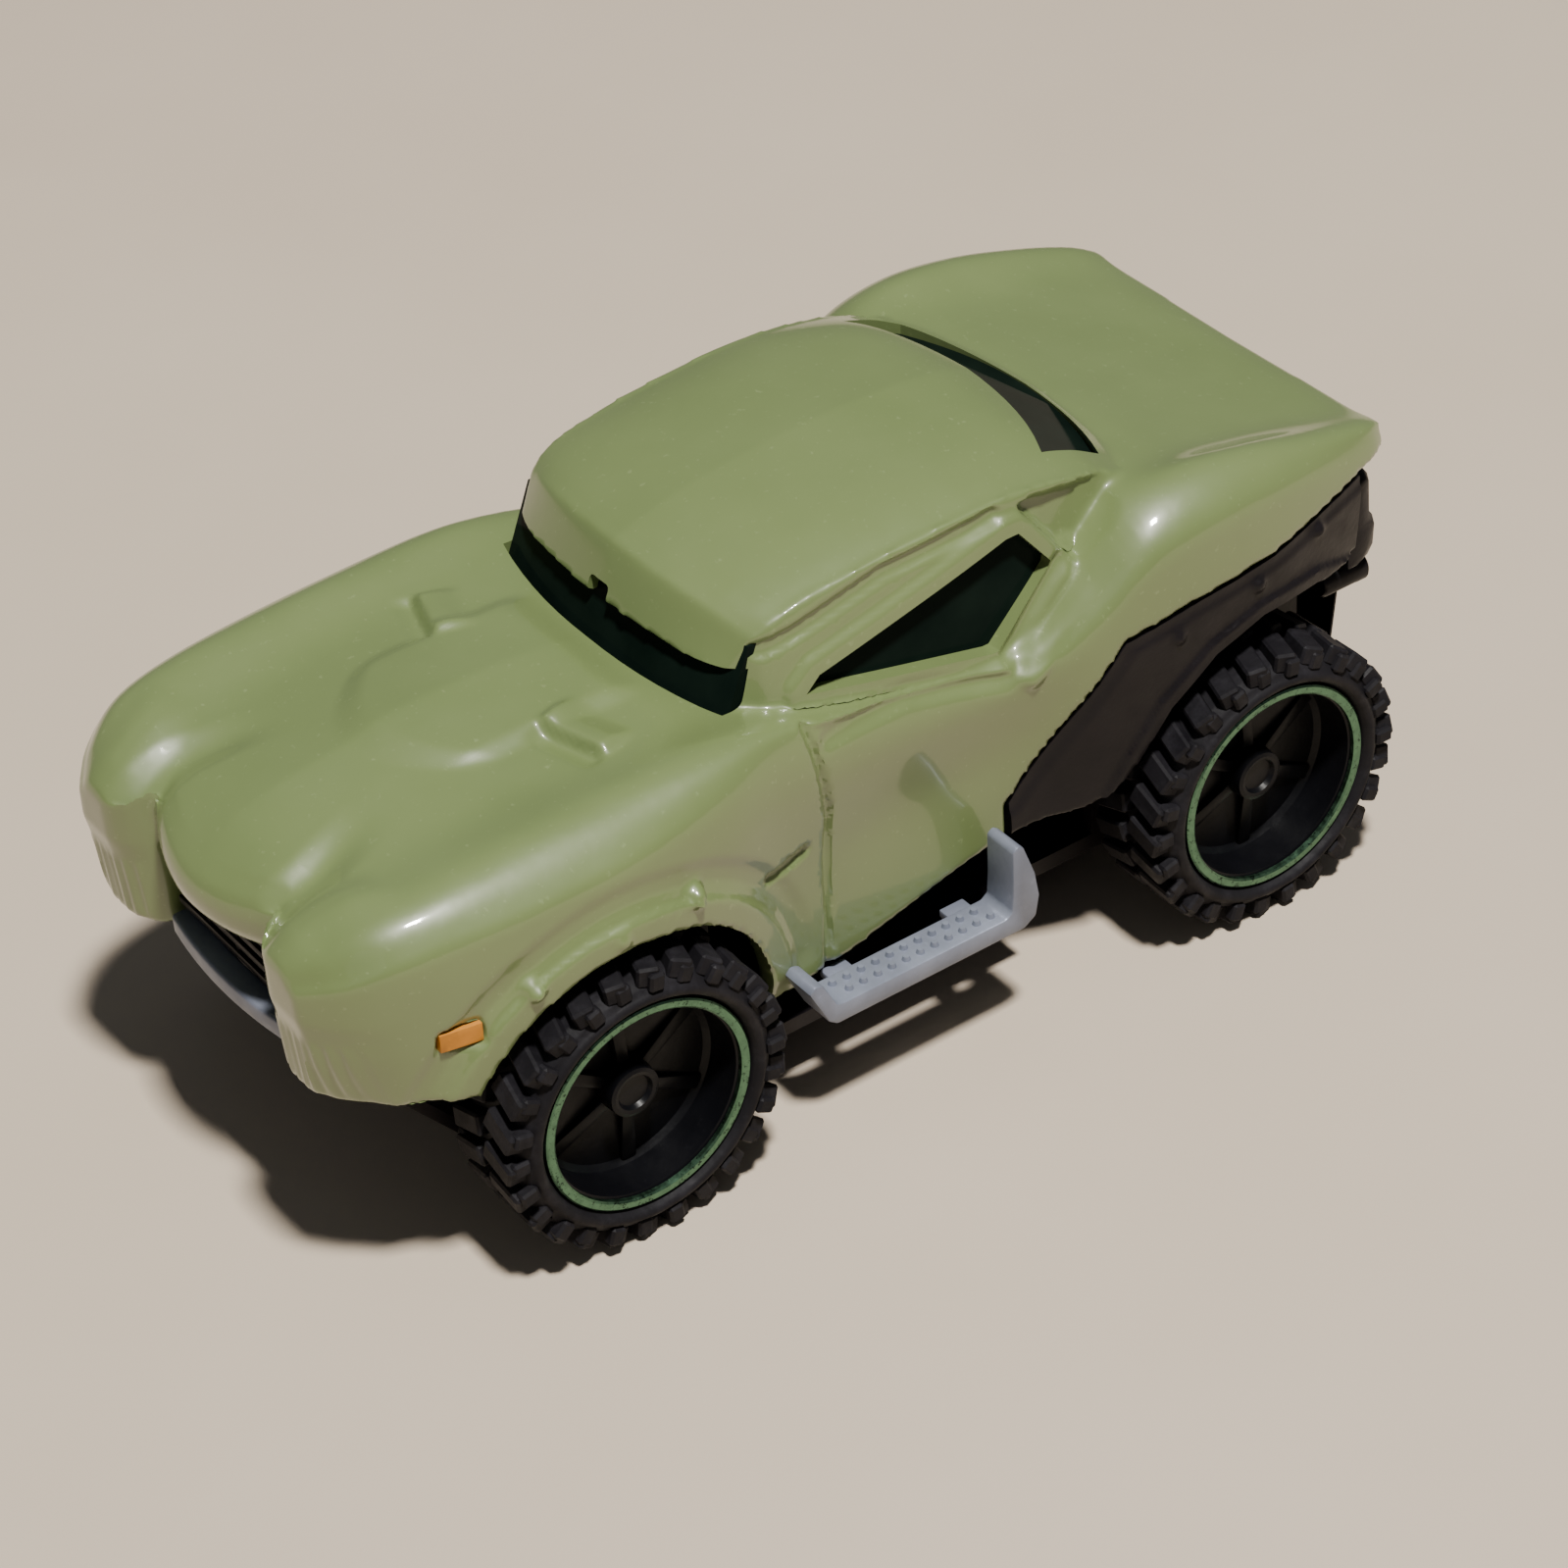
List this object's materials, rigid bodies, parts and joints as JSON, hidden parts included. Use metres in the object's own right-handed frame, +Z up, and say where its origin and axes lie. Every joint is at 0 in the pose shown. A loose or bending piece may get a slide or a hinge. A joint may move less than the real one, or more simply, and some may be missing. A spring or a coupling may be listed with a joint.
{
  "type": "pull back car",
  "caption": "Die-cast toy muscle car with a raised off-road stance, knobbly tyres on through axles, side steps and a geared wind-up motor on the rear axle.",
  "frame": {"origin": "on the ground under the middle of the car", "axes": "+Y to the rear bumper, so the nose points along -Y; +X to the car's left side; +Z up"},
  "size_m": [0.034, 0.0692, 0.0318],
  "materials": {
    "paint": "thick olive green gloss enamel",
    "smoked_glazing": "dark smoked clear plastic, glossy",
    "black_plastic": "fine textured moulded black",
    "grey_plastic": "metallic grey moulded plastic, satin",
    "amber_paint": "printed amber, satin",
    "axle_steel": "drawn steel wire",
    "rivet_zinc": "peened zinc alloy",
    "green_metal": "thin dark green metallised band",
    "rubber": "soft matt black",
    "rim_plastic": "moulded black, satin",
    "nylon": "natural nylon",
    "motor_plastic": "blue moulded plastic",
    "spring_steel": "blued spring strip",
    "brass": "turned brass"
  },
  "bodies": {
    "car": {"body_shell": "paint", "window_glazing": "smoked_glazing", "rear_flare_left": "black_plastic", "rear_flare_right": "black_plastic", "front_grille": "black_plastic", "chassis_base": "black_plastic", "rear_bumper": "black_plastic", "tail_pipe_left": "black_plastic", "tail_pipe_right": "black_plastic", "marker_lamp_left": "amber_paint", "marker_lamp_right": "amber_paint", "front_bumper": "grey_plastic", "side_step_left": "grey_plastic", "side_step_right": "grey_plastic", "base_rivet_front": "rivet_zinc", "base_rivet_rear": "rivet_zinc", "layshaft_pin": "axle_steel", "drum_pin": "axle_steel", "motor_screw_front": "axle_steel", "motor_screw_rear": "axle_steel", "mainspring": "spring_steel", "motor_case": "motor_plastic", "motor_cover": "motor_plastic"},
    "front_wheels": {"front_axle": "axle_steel", "front_rim_left": "rim_plastic", "front_rim_right": "rim_plastic", "front_ring_left": "green_metal", "front_ring_right": "green_metal", "front_tyre_left": "rubber", "front_tyre_right": "rubber"},
    "rear_wheels": {"rear_axle": "axle_steel", "axle_pinion": "brass", "rear_rim_left": "rim_plastic", "rear_rim_right": "rim_plastic", "rear_ring_left": "green_metal", "rear_ring_right": "green_metal", "rear_tyre_left": "rubber", "rear_tyre_right": "rubber"},
    "layshaft": {"layshaft_gear": "nylon"},
    "drum": {"drum_gear": "nylon"}
  },
  "joints": [
    {"name": "front_axle_spin", "type": "hinge", "parent": "car", "child": "front_wheels", "pos_m": [0, -0.0187, 0.00855], "axis": [1, 0, 0], "continuous": true},
    {"name": "rear_axle_spin", "type": "hinge", "parent": "car", "child": "rear_wheels", "pos_m": [0, 0.0228, 0.00855], "axis": [1, 0, 0], "continuous": true},
    {"name": "layshaft_spin", "type": "hinge", "parent": "car", "child": "layshaft", "pos_m": [0, 0.01645, 0.01195], "axis": [1, 0, 0], "continuous": true},
    {"name": "drum_spin", "type": "hinge", "parent": "car", "child": "drum", "pos_m": [0, 0.00886, 0.01235], "axis": [1, 0, 0], "continuous": true}
  ],
  "couplings": [
    {"joint": "layshaft_spin", "follows": "rear_axle_spin", "ratio": -0.38462},
    {"joint": "drum_spin", "follows": "rear_axle_spin", "ratio": 0.13736}
  ]
}
